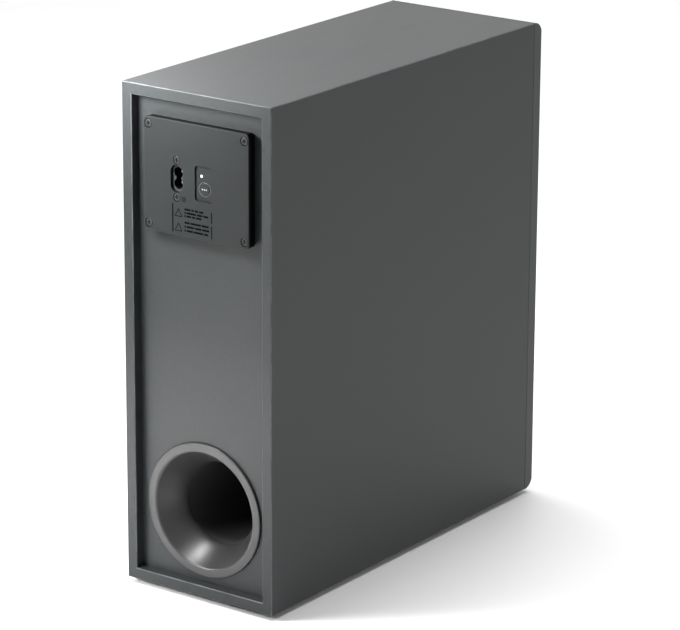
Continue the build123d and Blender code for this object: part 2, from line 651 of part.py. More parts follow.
def board_screws():
    """Four screws through the main board into the posts."""
    screw = cross_screw(2.4, 1.5, 1.1, 8.5)
    places = corners(BOARD_POST_X, BOARD_POST_Z)
    return Compound([facing_front(screw, x, BOARD_FACE - 1.5, AMP_Z + z) for x, z in places])


def transformer_core():
    """The transformer's ferrite core: a frame with a middle leg."""
    core = Box(2 * CORE_HALF_X, CORE_LEG[1], 2 * CORE_HALF_Z)
    window = WINDING_HALF[0] + 0.2 - CORE_LEG[0] / 2
    for side in (-1, 1):
        x = side * (CORE_LEG[0] / 2 + window / 2)
        core -= Pos(x, 0, 0) * Box(window, CORE_LEG[1], 2 * WINDING_HALF[2] + 0.4)
    return Pos(*TRANSFORMER) * core


def transformer_winding():
    """The winding round the middle leg."""
    winding = Box(*[2 * half for half in WINDING_HALF])
    winding = fillet(winding.edges().filter_by(Axis.Z), 3.0)
    winding -= Box(CORE_LEG[0], CORE_LEG[1], 2 * WINDING_HALF[2])
    return Pos(*TRANSFORMER) * winding


def capacitors():
    """Three can capacitors with rolled ends."""
    radius, height = 6.3, 25.0
    top = BOARD_FACE - height
    profile = [(0, BOARD_FACE), (radius, BOARD_FACE), (radius, BOARD_FACE - 3)]
    profile += [(radius - 0.7, BOARD_FACE - 4), (radius, BOARD_FACE - 5)]
    profile += [(radius, top + 0.8), (radius - 0.8, top), (0, top)]
    return Compound([Pos(x, 0, 0) * turned_y(profile, AMP_Z - 20.8) for x in (-10.0, 4.0, 18.0)])


def heat_sink():
    """A finned block on the amplifier chip."""
    fins, pitch, fin = 7, 4.6, 1.6
    length = (fins - 1) * pitch + fin
    left, low = -36.0, AMP_Z + 3.2
    base_top = BOARD_FACE - 4.0
    sink = block((left, left + length), (base_top - 3, base_top), (low, low + 25))
    for index in range(fins):
        x = left + index * pitch
        sink += block((x, x + fin), (base_top - 24, base_top - 3), (low, low + 25))
    return sink


def amplifier_chip():
    """The power stage under the heat sink."""
    return block((-29, -13), (BOARD_FACE - 4.0, BOARD_FACE), (AMP_Z + 9, AMP_Z + 23))


def wireless_module():
    """The small radio board on the main board."""
    return block((-28, -12), (BOARD_BACK, BOARD_BACK + 1.0), (AMP_Z - 23, AMP_Z - 1))


def shield_can():
    """The radio's metal can, an open box over the chips."""
    low = BOARD_BACK + 1.0
    can = block((-27, -13), (low, low + 2.4), (AMP_Z - 17, AMP_Z - 2))
    return can - block((-26.7, -13.3), (low, low + 2.1), (AMP_Z - 16.7, AMP_Z - 2.3))


def speaker_connector():
    """The board's plug-in connector for the woofer's leads."""
    body = block((GROMMET_X - 6, GROMMET_X + 6), (LEAD_START, BOARD_FACE), (GROMMET_Z - 3.5, GROMMET_Z + 3.5))
    return chamfer(body.edges().filter_by(Axis.Y), 0.5)


def housing_grommet():
    """The rubber grommet that seals the leads in the tub's floor."""
    grommet = slab_y(Pos(GROMMET_X, GROMMET_Z) * SlotOverall(11, 6), TUB_FLOOR - 1.5, TUB_FLOOR + 3.5)
    for y in (TUB_FLOOR - 1.5, TUB_FLOOR + TUB_WALL):
        grommet += slab_y(Pos(GROMMET_X, GROMMET_Z) * SlotOverall(14, 9), y, y + 1.5)
    for side in (-1, 1):
        x = GROMMET_X + side * LEAD_HALF_GAP
        grommet -= rod_y(x, GROMMET_Z, LEAD_RADIUS + 0.05, TUB_FLOOR - 1.5, TUB_FLOOR + 3.5)
    return grommet


# ---------------------------------------------------------------- woofer leads


def woofer_leads():
    """Two leads side by side from the amplifier to the woofer."""
    leads = []
    for side in (-1, 1):
        route = [(x + side * LEAD_HALF_GAP, y, z) for x, y, z in LEAD_ROUTE]
        leads.append(lead(route, LEAD_RADIUS))
    return Compound(leads)


def lead_clip():
    """The saddle that holds the leads on the brace."""
    low = BRACE_BARS[1][1]
    clip = block((CLIP_X - 7, CLIP_X + 7), CLIP_Y, (low, low + 6.5))
    clip = fillet(clip.edges().filter_by(Axis.Y).group_by(Axis.Z)[-1], 2.0)
    for side in (-1, 1):
        clip -= rod_y(CLIP_X + side * LEAD_HALF_GAP, LEAD_CLIP_Z, LEAD_RADIUS + 0.05, *CLIP_Y)
    return clip


# ---------------------------------------------------------------- woofer


def cone_front(radius):
    """The y of the cone's front at a radius."""
    share = (radius - NECK_RADIUS) / (CONE_RADIUS - NECK_RADIUS)
    return NECK_FACE + share * (RIM_FACE - NECK_FACE)


def woofer_basket():
    """The pressed steel frame: flange, cone-shaped wall with windows, spider ledge, terminal lug."""
    outline = [(47, FRAME_FACE), (WOOFER_FRAME_RADIUS, FRAME_FACE), (WOOFER_FRAME_RADIUS, FRAME_BACK)]
    outline += [(49.6, FRAME_BACK), (36, BASKET_END - 2), (36, BASKET_END), (16, BASKET_END)]
    outline += [(16, BASKET_END - 1.8), (34.2, BASKET_END - 1.8), (47.2, FRAME_FACE + 4.5)]
    basket = turned_y(outline, WOOFER_Z)
    ledge = [(33, LEDGE_FACE), (38, LEDGE_FACE), (38, LEDGE_FACE + 1.5), (33, LEDGE_FACE + 1.5)]
    basket += turned_y(ledge, WOOFER_Z)
    for step in range(6):
        window = Pos(45, 0, 0) * Box(30, 20, 22)
        basket -= Pos(0, FRAME_FACE + 19.0, WOOFER_Z) * Rot(0, 60 * step, 0) * window
    lug = block((-7, 7), (LEDGE_FACE - 4.0, LEDGE_FACE - 1.6), (WOOFER_Z + 38.5, TERMINAL_Z + 4))
    basket += lug
    for x, z in corners(WOOFER_SCREW_XZ, WOOFER_SCREW_XZ):
        basket -= rod_y(x, WOOFER_Z + z, 1.5, FRAME_FACE, FRAME_BACK)
    return basket


def woofer_seal():
    """The foam ring behind the woofer's flange."""
    ring = rod_y(0, WOOFER_Z, 56.5, FRAME_BACK, SEAL_BACK) - rod_y(0, WOOFER_Z, 50.6, FRAME_BACK, SEAL_BACK)
    for x, z in corners(WOOFER_SCREW_XZ, WOOFER_SCREW_XZ):
        ring -= rod_y(x, WOOFER_Z + z, 1.5, FRAME_BACK, SEAL_BACK)
    return ring


def woofer_trim_ring():
    """The front ring that clamps the surround."""
    front = FRAME_FACE - 1.5
    ring = rod_y(0, WOOFER_Z, WOOFER_FRAME_RADIUS, front, FRAME_FACE)
    ring -= rod_y(0, WOOFER_Z, 51.8, front, FRAME_FACE)
    for x, z in corners(WOOFER_SCREW_XZ, WOOFER_SCREW_XZ):
        ring -= rod_y(x, WOOFER_Z + z, 1.5, front, FRAME_FACE)
    return ring


def woofer_screws():
    """Four screws through the flange into the front baffle."""
    screw = cross_screw(2.5, 1.5, 1.3, 16.0)
    places = corners(WOOFER_SCREW_XZ, WOOFER_SCREW_XZ)
    return Compound([facing_front(screw, x, FRAME_FACE - 3.0, WOOFER_Z + z) for x, z in places])


def woofer_top_plate():
    """The steel ring in front of the magnet."""
    ring = [(13.6, BASKET_END), (36, BASKET_END), (36, PLATE_END), (13.6, PLATE_END)]
    return turned_y(ring, WOOFER_Z)


def woofer_magnet():
    """The ferrite ring."""
    ring = [(20, PLATE_END), (40, PLATE_END), (40, MAGNET_END), (20, MAGNET_END)]
    magnet = turned_y(ring, WOOFER_Z)
    return chamfer(magnet.edges().group_by(Axis.Y)[0][-1], 0.8)


def woofer_yoke():
    """The back plate and the vented pole."""
    outline = [(4, BASKET_END), (12, BASKET_END), (12, MAGNET_END), (36, MAGNET_END)]
    outline += [(36, YOKE_END), (4, YOKE_END)]
    return turned_y(outline, WOOFER_Z)


def voice_coil_former():
    """The thin tube that carries the winding."""
    inner, outer = COIL_RADIUS, COIL_RADIUS + 0.3
    span = (NECK_FACE - 1.0, MAGNET_END - CONE_TRAVEL - 3.0)
    return turned_y([(inner, span[0]), (outer, span[0]), (outer, span[1]), (inner, span[1])], WOOFER_Z)


def voice_coil_winding():
    """The copper winding in the magnet's gap."""
    inner, outer = COIL_RADIUS + 0.3, COIL_RADIUS + 0.7
    overhang = CONE_TRAVEL - 0.5
    span = (BASKET_END - overhang, PLATE_END + overhang)
    return turned_y([(inner, span[0]), (outer, span[0]), (outer, span[1]), (inner, span[1])], WOOFER_Z)


def cone():
    """The paper cone."""
    outline = [(NECK_RADIUS, NECK_FACE), (CONE_RADIUS, RIM_FACE), (CONE_RADIUS, RIM_FACE + 1.1)]
    outline += [(NECK_RADIUS, NECK_FACE + 1.2)]
    return turned_y(outline, WOOFER_Z)


def dome(radius, rise, base):
    """The section of a round dome over y = base: from its rim to its crown, centred on the axis."""
    ball = (radius**2 + rise**2) / (2 * rise)
    half_angle = atan(radius / (ball - rise)) / 2
    centre = base + ball - rise
    middle = (ball * sin(half_angle), centre - ball * cos(half_angle))
    return ThreePointArc((radius, base), middle, (0, base - rise))


def dust_cap():
    """The dome over the voice coil."""
    base = cone_front(CAP_RADIUS) - 0.1
    inner = dome(CAP_RADIUS - 0.8, 5.9, base)
    outer = dome(CAP_RADIUS, 6.5, base)
    edges = [inner, Line(inner @ 1, outer @ 1), outer, Line(outer @ 0, inner @ 0)]
    return Pos(0, 0, WOOFER_Z) * revolve(make_face(edges), Axis.Y)


def half_ring(centre, radius, base):
    """The section of half a roll over y = base, from its inner foot over its crown to its outer foot."""
    return ThreePointArc((centre - radius, base), (centre, base - radius), (centre + radius, base))


def surround():
    """The rubber half-roll between the cone and the frame."""
    foot = FRAME_FACE - 0.1
    centre, outer_radius, skin = 43.9, 3.6, 0.6
    inner_radius = outer_radius - skin
    outer = half_ring(centre, outer_radius, foot)
    inner = half_ring(centre, inner_radius, foot)
    roll = make_face([outer, Line(outer @ 1, inner @ 1), inner, Line(inner @ 0, outer @ 0)])
    lip_start = centre + inner_radius
    lip_end = centre + outer_radius + 4.0
    lip = [(lip_start, foot - 0.5), (lip_end, foot - 0.5)]
    lip += [(lip_end, foot + 0.1), (lip_start + 0.1, foot + 0.1)]
    return Pos(0, 0, WOOFER_Z) * revolve(roll, Axis.Y) + turned_y(lip, WOOFER_Z)


def spider():
    """The corrugated cloth disc that centres the voice coil."""
    skin, wave, waves = 0.5, 1.0, 4
    inner, outer = COIL_RADIUS + 1.0, 37.0
    flat = 31.5
    steps = 2 * waves
    face = LEDGE_FACE - skin
    crest = [(inner + (flat - inner) * i / steps, face - wave * (i % 2)) for i in range(steps + 1)]
    front = crest + [(outer, face)]
    back = [(radius, y + skin) for radius, y in reversed(front)]
    return turned_y(front + back, WOOFER_Z)


def woofer_terminals():
    """The fibre strip and its two tabs."""
    back = LEDGE_FACE - 1.6
    strip = block((-7, 7), (back, back + 1.6), (TERMINAL_Z - 4.5, TERMINAL_Z + 4))
    for side in (-1, 1):
        x = side * LEAD_HALF_GAP
        strip += block((x - 0.4, x + 0.4), (back + 1.6, LEAD_END - 0.3), (TERMINAL_Z - 1.4, TERMINAL_Z + 1.4))
    return strip


# ---------------------------------------------------------------- write one file per piece
os.makedirs("parts", exist_ok=True)
PIECES = [
    feet, foot_screws, rear_baffle, front_baffle, cabinet_brace, damping_wadding,
    grille_frame, grille_cloth, grille_sockets, port_flare, port_tube, port_gasket,
    amp_faceplate, amp_housing, amp_gasket, amp_screws, inlet_socket, inlet_pins, inlet_screws,
    pair_button, switch_plunger, tact_switch, button_board, button_board_screws, status_led, led_light_pipe,
    main_board, board_screws, transformer_core, transformer_winding, capacitors, heat_sink, amplifier_chip,
    wireless_module, shield_can, speaker_connector, housing_grommet, woofer_leads, lead_clip,
    woofer_basket, woofer_seal, woofer_trim_ring, woofer_screws, woofer_top_plate, woofer_magnet, woofer_yoke,
    voice_coil_former, voice_coil_winding, cone, dust_cap, surround, spider, woofer_terminals,
]
for node, shape in cabinet_boards().items():
    export_step(shape, f"parts/{node}.step")
for piece in PIECES:
    export_step(piece(), f"parts/{piece.__name__}.step")
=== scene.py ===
import json
from math import cos, pi, radians, sin, sqrt

import bmesh
import bpy
from mathutils import Matrix, Vector, noise


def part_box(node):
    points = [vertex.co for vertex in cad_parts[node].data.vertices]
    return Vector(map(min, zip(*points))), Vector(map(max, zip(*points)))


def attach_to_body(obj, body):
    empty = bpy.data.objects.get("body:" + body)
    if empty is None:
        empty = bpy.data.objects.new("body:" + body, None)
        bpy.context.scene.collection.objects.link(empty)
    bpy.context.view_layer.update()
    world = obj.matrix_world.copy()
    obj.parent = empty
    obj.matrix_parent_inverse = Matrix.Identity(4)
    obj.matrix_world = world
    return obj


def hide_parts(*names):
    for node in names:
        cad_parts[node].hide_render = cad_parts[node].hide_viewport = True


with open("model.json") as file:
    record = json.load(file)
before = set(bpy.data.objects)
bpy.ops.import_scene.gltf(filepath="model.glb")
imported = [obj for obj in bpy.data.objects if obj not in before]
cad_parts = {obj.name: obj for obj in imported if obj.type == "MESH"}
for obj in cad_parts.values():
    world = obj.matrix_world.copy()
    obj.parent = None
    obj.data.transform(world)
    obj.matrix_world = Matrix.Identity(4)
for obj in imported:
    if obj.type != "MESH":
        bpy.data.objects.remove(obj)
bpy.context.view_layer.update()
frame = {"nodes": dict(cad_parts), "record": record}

MM = 0.001

# ---------------------------------------------------------------- places, from the frame
PLATE_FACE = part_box("amp_faceplate")[1].y
INLET_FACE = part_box("inlet_socket")[1].y
PORT_LOW, PORT_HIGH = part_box("port_flare")
PORT_Z = (PORT_LOW.z + PORT_HIGH.z) / 2
BUTTON_LOW, BUTTON_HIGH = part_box("pair_button")
BUTTON = (BUTTON_LOW + BUTTON_HIGH) / 2
CLOTH_LOW, CLOTH_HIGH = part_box("grille_cloth")


# ---------------------------------------------------------------- camera
CAMERA_PLACE = (-1.585639, 2.187020, 1.029360)
CAMERA_AZIMUTH = radians(215.9095)
CAMERA_ELEVATION = radians(17.35656)
CAMERA_ROLL = radians(0.298396)
CAMERA_LENS = 189.43


def make_camera():
    """The camera of the rear three-quarter view."""
    az, el = CAMERA_AZIMUTH, CAMERA_ELEVATION
    back = Vector((sin(az) * cos(el), -cos(az) * cos(el), sin(el)))
    right = Vector((0, 0, 1)).cross(back).normalized()
    up = back.cross(right)
    rolled_right = cos(CAMERA_ROLL) * right + sin(CAMERA_ROLL) * up
    rolled_up = cos(CAMERA_ROLL) * up - sin(CAMERA_ROLL) * right
    camera = bpy.data.objects.new("camera", bpy.data.cameras.new("camera"))
    camera.data.lens = CAMERA_LENS
    camera.data.clip_start = 0.05
    camera.data.clip_end = 60.0
    turn = Matrix((rolled_right, rolled_up, back)).transposed().to_4x4()
    camera.matrix_world = Matrix.Translation(CAMERA_PLACE) @ turn
    bpy.context.collection.objects.link(camera)
    bpy.context.scene.camera = camera


# ---------------------------------------------------------------- light and floor
WALLS_AHEAD = 1.40        # brightness of the room's walls beyond the object
WALLS_BEHIND = 0.10       # and of those behind the camera
CEILING = 0.05


def make_light(name, place, target, side, power):
    """A soft square area light aimed at a point."""
    data = bpy.data.lights.new(name, "AREA")
    data.shape = "SQUARE"
    data.size = side
    data.energy = power
    light = bpy.data.objects.new(name, data)
    aim = Vector(target) - Vector(place)
    light.matrix_world = Matrix.Translation(place) @ aim.to_track_quat("-Z", "Y").to_matrix().to_4x4()
    light.visible_camera = False
    bpy.context.collection.objects.link(light)


def make_world():
    """A pale room: its walls beyond the object, its walls behind the camera and its ceiling."""
    world = bpy.data.worlds.new("studio")
    world.use_nodes = True
    nodes, links = world.node_tree.nodes, world.node_tree.links
    direction = nodes.new("ShaderNodeTexCoord")
    split = nodes.new("ShaderNodeSeparateXYZ")
    links.new(direction.outputs["Generated"], split.inputs[0])
    walls = nodes.new("ShaderNodeMapRange")
    ceiling = nodes.new("ShaderNodeMapRange")
    for node, axis, start, end in ((walls, "Y", -0.1, 0.5), (ceiling, "Z", 0.25, 0.80)):
        links.new(split.outputs[axis], node.inputs["Value"])
        node.inputs["From Min"].default_value = start
        node.inputs["From Max"].default_value = end
    walls.inputs["To Min"].default_value = WALLS_AHEAD
    walls.inputs["To Max"].default_value = WALLS_BEHIND
    links.new(walls.outputs["Result"], ceiling.inputs["To Min"])
    ceiling.inputs["To Max"].default_value = CEILING
    background = nodes["Background"]
    background.inputs["Color"].default_value = (1, 1, 1, 1)
    links.new(ceiling.outputs["Result"], background.inputs["Strength"])
    bpy.context.scene.world = world


def make_studio():
    """Two soft overhead lights, a faint rim light, two small lamps at the rear panel and a pale floor."""
    bpy.context.scene.view_settings.view_transform = "Standard"
    make_world()
    origin = (0.0, 0.0, 0.0)
    make_light("overhead", (0.85, 0.4, 4.0), origin, 2.4, 66.0)
    make_light("ahead", (0.0, -1.0, 4.0), origin, 2.4, 114.0)
    make_light("rim", (0.9, -0.45, 0.85), (0.0, 0.1, 0.4), 0.6, 2.7)
    make_light("corner", (0.10, 0.30, 0.46), (0.05, 0.18, 0.36), 0.08, 2.1)
    make_light("patch", (0.24, 0.50, 0.22), (0.24, 0.50, 0.0), 0.14, 4.2)
    half = 15.0
    floor = mesh_object("floor", [(-half, -half, 0), (half, -half, 0), (half, half, 0), (-half, half, 0)],
                        [(0, 1, 2, 3)], floor_look())


# ---------------------------------------------------------------- material helpers
SOCKETS = {
    "metallic": "Metallic",
    "specular": "Specular IOR Level",
    "sheen": "Sheen Weight",
    "sheen_roughness": "Sheen Roughness",
    "glow": "Emission Strength",
}


class Look:
    """A procedural material being put together."""

    def __init__(self, name, **constants):
        self.material = bpy.data.materials.new(name)
        self.material.use_nodes = True
        tree = self.material.node_tree
        self.nodes, self.links = tree.nodes, tree.links
        self.shader = self.nodes["Principled BSDF"]
        self.place = self.nodes.new("ShaderNodeTexCoord").outputs["Object"]
        self.normal = self.nodes.new("ShaderNodeNewGeometry").outputs["True Normal"]
        for key, value in constants.items():
            self.shader.inputs[SOCKETS[key]].default_value = value

    def wire(self, value, socket):
        """Links an output, or sets a plain value."""
        if isinstance(value, bpy.types.NodeSocket):
            self.links.new(value, socket)
        else:
            socket.default_value = value

    def noise(self, scale, stretch=(1, 1, 1), detail=3.0, roughness=0.55, distortion=0.0):
        """Noise of so many cells a metre, squeezed along each axis."""
        mapping = self.nodes.new("ShaderNodeMapping")
        self.links.new(self.place, mapping.inputs["Vector"])
        mapping.inputs["Scale"].default_value = [scale * s for s in stretch]
        texture = self.nodes.new("ShaderNodeTexNoise")
        self.links.new(mapping.outputs["Vector"], texture.inputs["Vector"])
        texture.inputs["Scale"].default_value = 1.0
        texture.inputs["Detail"].default_value = detail
        texture.inputs["Roughness"].default_value = roughness
        texture.inputs["Distortion"].default_value = distortion
        return texture.outputs["Fac"]

    def cell_edges(self, scale, stretch):
        """Distance to the nearest edge between the cells of scattered points."""
        mapping = self.nodes.new("ShaderNodeMapping")
        self.links.new(self.place, mapping.inputs["Vector"])
        mapping.inputs["Scale"].default_value = [scale * s for s in stretch]
        texture = self.nodes.new("ShaderNodeTexVoronoi")
        texture.feature = "DISTANCE_TO_EDGE"
        texture.inputs["Scale"].default_value = 1.0
        self.links.new(mapping.outputs["Vector"], texture.inputs["Vector"])
        return texture.outputs["Distance"]

    def axis(self, name, source=None):
        """One coordinate of the place, or of another vector."""
        split = self.nodes.new("ShaderNodeSeparateXYZ")
        self.links.new(source or self.place, split.inputs[0])
        return split.outputs[name]

    def math(self, operation, a, b=0.0):
        node = self.nodes.new("ShaderNodeMath")
        node.operation = operation
        self.wire(a, node.inputs[0])
        self.wire(b, node.inputs[1])
        return node.outputs[0]

    def spread(self, value, low, high, start=0.0, end=1.0):
        """Maps low..high to start..end, smoothly and clamped."""
        node = self.nodes.new("ShaderNodeMapRange")
        node.interpolation_type = "SMOOTHSTEP"
        self.links.new(value, node.inputs["Value"])
        node.inputs["From Min"].default_value = low
        node.inputs["From Max"].default_value = high
        node.inputs["To Min"].default_value = start
        node.inputs["To Max"].default_value = end
        return node.outputs["Result"]

    def mix(self, factor, first, second):
        """From the first colour to the second."""
        node = self.nodes.new("ShaderNodeMix")
        node.data_type = "RGBA"
        self.wire(factor, node.inputs["Factor"])
        for value, socket in ((first, node.inputs["A"]), (second, node.inputs["B"])):
            self.wire(value if isinstance(value, bpy.types.NodeSocket) else (*value, 1.0), socket)
        return node.outputs["Result"]

    def wave(self, coordinate, pitch):
        """A sine along one coordinate, from 0 to 1 and back in one pitch."""
        turned = self.math("MULTIPLY", coordinate, 2 * pi / pitch)
        return self.math("MULTIPLY_ADD", self.math("SINE", turned), 0.5)

    def bump(self, height, strength, distance):
        """Adds relief on top of the relief before it."""
        node = self.nodes.new("ShaderNodeBump")
        node.inputs["Strength"].default_value = strength
        node.inputs["Distance"].default_value = distance
        self.links.new(height, node.inputs["Height"])
        before = self.shader.inputs["Normal"].links
        if before:
            self.links.new(before[0].from_socket, node.inputs["Normal"])
        self.links.new(node.outputs["Normal"], self.shader.inputs["Normal"])

    def colour(self, value):
        self.wire(value, self.shader.inputs["Base Color"])

    def rough(self, value):
        self.wire(value, self.shader.inputs["Roughness"])

    def below(self, height):
        """1 deeper in the rear panel than the height y, and 0 nearer to its face."""
        return self.spread(self.axis("Y"), height - FADE / 2, height + FADE / 2, 1.0, 0.0)

    def edge(self):
        """1 on small bevels, where no axis is square to the face, and 0 on the flats."""
        parts = [self.math("ABSOLUTE", self.axis(name, self.normal)) for name in "XYZ"]
        largest = self.math("MAXIMUM", self.math("MAXIMUM", parts[0], parts[1]), parts[2])
        return self.spread(largest, 0.80, 0.97, 1.0, 0.0)


def grained(name, dark, light, rough, scale=900.0, stretch=(1, 1, 1), relief=0.02, patch=25.0, **constants):
    """A finish with slow colour patches, a fine grain and matching relief."""
    look = Look(name, **constants)
    grain = look.noise(scale, stretch)
    patches = look.noise(patch, detail=2.0)
    both = look.math("ADD", look.math("MULTIPLY", grain, 0.6), look.math("MULTIPLY", patches, 0.4))
    look.colour(look.mix(look.spread(both, 0.3, 0.7), dark, light))
    look.rough(look.spread(patches, 0.3, 0.7, *rough))
    look.bump(grain, 0.35, relief * MM)
    return look


# ---------------------------------------------------------------- materials
POCKET_DEPTH = 1.45 * MM  # below the plate's face: the floors of the screw pockets, where painted shade begins
SLOT_TOP = 0.35 * MM      # the screws' heads end and their slots begin; painted shade runs from here down to SLOT_END
SLOT_END = 2.9 * MM
# how deep the painted light on the inlet's face reaches
PAINTED_LIGHT_SKIN = 0.075 * MM
FADE = 0.1 * MM


def floor_look():
    look = Look("floor", specular=0.2)
    look.colour(look.mix(look.noise(3.0), (0.93, 0.93, 0.93), (0.95, 0.95, 0.95)))
    look.rough(look.spread(look.noise(40.0), 0.3, 0.7, 0.6, 0.7))
    return look.material


def cabinet_film():
    """Satin wrap: fine streaks along the boards, a soft mottle and a faint painted highlight on the bevels.
    """
    look = Look("cabinet_film", specular=0.36)
    streaks = look.noise(420.0, (1.0, 0.035, 1.0), detail=4.0)
    mottle = look.noise(9.0, (1.0, 0.5, 1.0), detail=2.0)
    speckle = look.noise(2600.0, detail=1.0)
    tone = look.math("ADD", look.math("MULTIPLY", streaks, 0.5), look.math("MULTIPLY", mottle, 0.5))
    flat = look.mix(look.spread(tone, 0.32, 0.68), (0.0175, 0.0200, 0.0208), (0.0235, 0.0268, 0.0277))
    # painted highlight: the bevels lighter, in soft patches
    painted_edge_highlight = look.math("MULTIPLY", look.edge(), look.spread(look.noise(60.0), 0.35, 0.6, 0.5, 1.0))
    look.colour(look.mix(painted_edge_highlight, flat, (0.11, 0.12, 0.125)))
    look.rough(look.spread(tone, 0.3, 0.7, 0.40, 0.46))
    look.bump(streaks, 0.25, 0.02 * MM)
    look.bump(speckle, 0.15, 0.01 * MM)
    return look.material


def grille_paint():
    look = Look("grille_paint", specular=0.36)
    orange_peel = look.noise(700.0, detail=2.0)
    mottle = look.noise(12.0, detail=2.0)
    flat = look.mix(look.spread(mottle, 0.3, 0.7), (0.029, 0.033, 0.034), (0.035, 0.040, 0.041))
    # painted highlight: the bevels lighter
    look.colour(look.mix(look.math("MULTIPLY", look.edge(), 0.4), flat, (0.10, 0.11, 0.115)))
    look.rough(look.spread(mottle, 0.3, 0.7, 0.40, 0.46))
    look.bump(orange_peel, 0.2, 0.015 * MM)
    return look.material


def plate_plastic():
    """Moulded plate: a fine spark texture on the face; its sides and screw pockets darkened to almost black,
    a painted shade.
    """
    look = Look("plate_plastic", specular=0.22)
    texture = look.noise(2200.0, detail=2.0)
    mottle = look.noise(14.0, detail=2.0)
    face = look.mix(look.spread(mottle, 0.3, 0.7), (0.0125, 0.0140, 0.0143), (0.0155, 0.0172, 0.0176))
    speckled = look.mix(look.spread(texture, 0.45, 0.75, 0.0, 0.35), face, (0.030, 0.033, 0.034))
    # painted shade: the plate's steep sides and the floors of its screw pockets almost black, and fully rough
    steep = look.spread(look.axis("Y", look.normal), 0.45, 0.6, 1.0, 0.0)
    pocket_shade = look.below(PLATE_FACE - POCKET_DEPTH)
    side = look.math("MAXIMUM", steep, pocket_shade)
    look.colour(look.mix(side, speckled, (0.002, 0.002, 0.002)))
    grip = look.spread(texture, 0.3, 0.7, 0.36, 0.42)
    look.rough(look.math("MAXIMUM", side, grip))
    look.bump(texture, 0.25, 0.02 * MM)
    return look.material


def port_plastic():
    """Smooth moulding with faint turned marks and fine scratches."""
    look = Look("port_plastic", specular=0.5)
    mottle = look.noise(18.0, detail=2.0)
    fine = look.noise(1500.0, detail=2.0)
    look.colour(look.mix(look.spread(mottle, 0.3, 0.7), (0.031, 0.0305, 0.0305), (0.037, 0.0363, 0.0363)))
    look.rough(look.spread(mottle, 0.3, 0.7, 0.33, 0.38))
    look.bump(fine, 0.12, 0.01 * MM)
    return look.material


def grille_fabric():
    """Plain weave of dark yarn with a little lint; painted shade darkens the valleys between the yarns."""
    look = Look("grille_fabric", specular=0.2, sheen=0.3, sheen_roughness=0.5)
    pitch = 0.9 * MM
    warp = look.wave(look.axis("X"), pitch)
    weft = look.wave(look.axis("Z"), pitch)
    over = look.math("MULTIPLY", look.wave(look.axis("X"), 2 * pitch), look.wave(look.axis("Z"), 2 * pitch))
    height = look.math("ADD", look.math("MAXIMUM", warp, weft), over)
    fluff = look.noise(1800.0, detail=3.0)
    # painted shade: the yarn darker in the weave's valleys, lighter on its crowns
    yarn = look.mix(look.spread(height, 0.5, 1.8), (0.010, 0.011, 0.011), (0.040, 0.042, 0.043))
    look.colour(look.mix(look.spread(fluff, 0.4, 0.8, 0.0, 0.4), yarn, (0.055, 0.057, 0.058)))
    look.rough(look.spread(fluff, 0.3, 0.7, 0.85, 0.95))
    look.bump(height, 0.8, 0.25 * MM)
    look.bump(fluff, 0.4, 0.05 * MM)
    return look.material


def circuit_board():
    """Solder mask with the pale pattern of tracks under it."""
    look = Look("circuit_board", specular=0.5)
    tracks = look.cell_edges(260.0, (1.0, 1.0, 2.2))
    mask = look.mix(look.noise(40.0), (0.010, 0.070, 0.030), (0.014, 0.095, 0.042))
    look.colour(look.mix(look.spread(tracks, 0.05, 0.09, 0.6, 0.0), mask, (0.05, 0.20, 0.08)))
    look.rough(look.spread(tracks, 0.0, 0.2, 0.28, 0.36))
    look.bump(look.spread(tracks, 0.04, 0.1), 0.4, 0.03 * MM)
    return look.material


def winding():
    """Enamelled copper wire, turn by turn, with painted shade in the grooves between turns."""
    look = Look("winding", metallic=0.85, specular=0.5)
    turns = look.wave(look.math("ADD", look.axis("Y"), look.axis("Z")), 0.7 * MM)
    tone = look.noise(120.0, detail=2.0)
    # painted shade: the grooves between turns dark, the crowns copper
    look.colour(look.mix(turns, (0.16, 0.045, 0.012), look.mix(tone, (0.62, 0.24, 0.09), (0.75, 0.33, 0.13))))
    look.rough(look.spread(tone, 0.3, 0.7, 0.26, 0.4))
    look.bump(turns, 0.7, 0.2 * MM)
    return look.material


def cone_paper():
    """Pressed pulp with short fibres."""
    look = Look("cone_paper", specular=0.25, sheen=0.1)
    fibres = look.noise(900.0, (1.0, 1.0, 0.25), detail=4.0, distortion=1.2)
    pulp = look.noise(60.0, detail=3.0)
    base = look.mix(look.spread(pulp, 0.3, 0.7), (0.020, 0.020, 0.021), (0.032, 0.032, 0.034))
    look.colour(look.mix(look.spread(fibres, 0.55, 0.75, 0.0, 0.5), base, (0.09, 0.09, 0.09)))
    look.rough(look.spread(fibres, 0.3, 0.7, 0.7, 0.85))
    look.bump(fibres, 0.5, 0.08 * MM)
    return look.material


def spider_cloth():
    """Resin-stiffened cotton, an open weave, with painted shade between the threads."""
    look = Look("spider_cloth", specular=0.3, sheen=0.2)
    weave = look.math("MULTIPLY", look.wave(look.axis("X"), 0.8 * MM), look.wave(look.axis("Z"), 0.8 * MM))
    resin = look.noise(70.0, detail=3.0)
    thread = look.mix(look.spread(resin, 0.3, 0.7), (0.42, 0.29, 0.10), (0.56, 0.42, 0.18))
    # painted shade: dark brown between the threads
    look.colour(look.mix(look.spread(weave, 0.0, 0.5), (0.16, 0.10, 0.03), thread))
    look.rough(look.spread(resin, 0.3, 0.7, 0.65, 0.8))
    look.bump(weave, 0.7, 0.15 * MM)
    return look.material


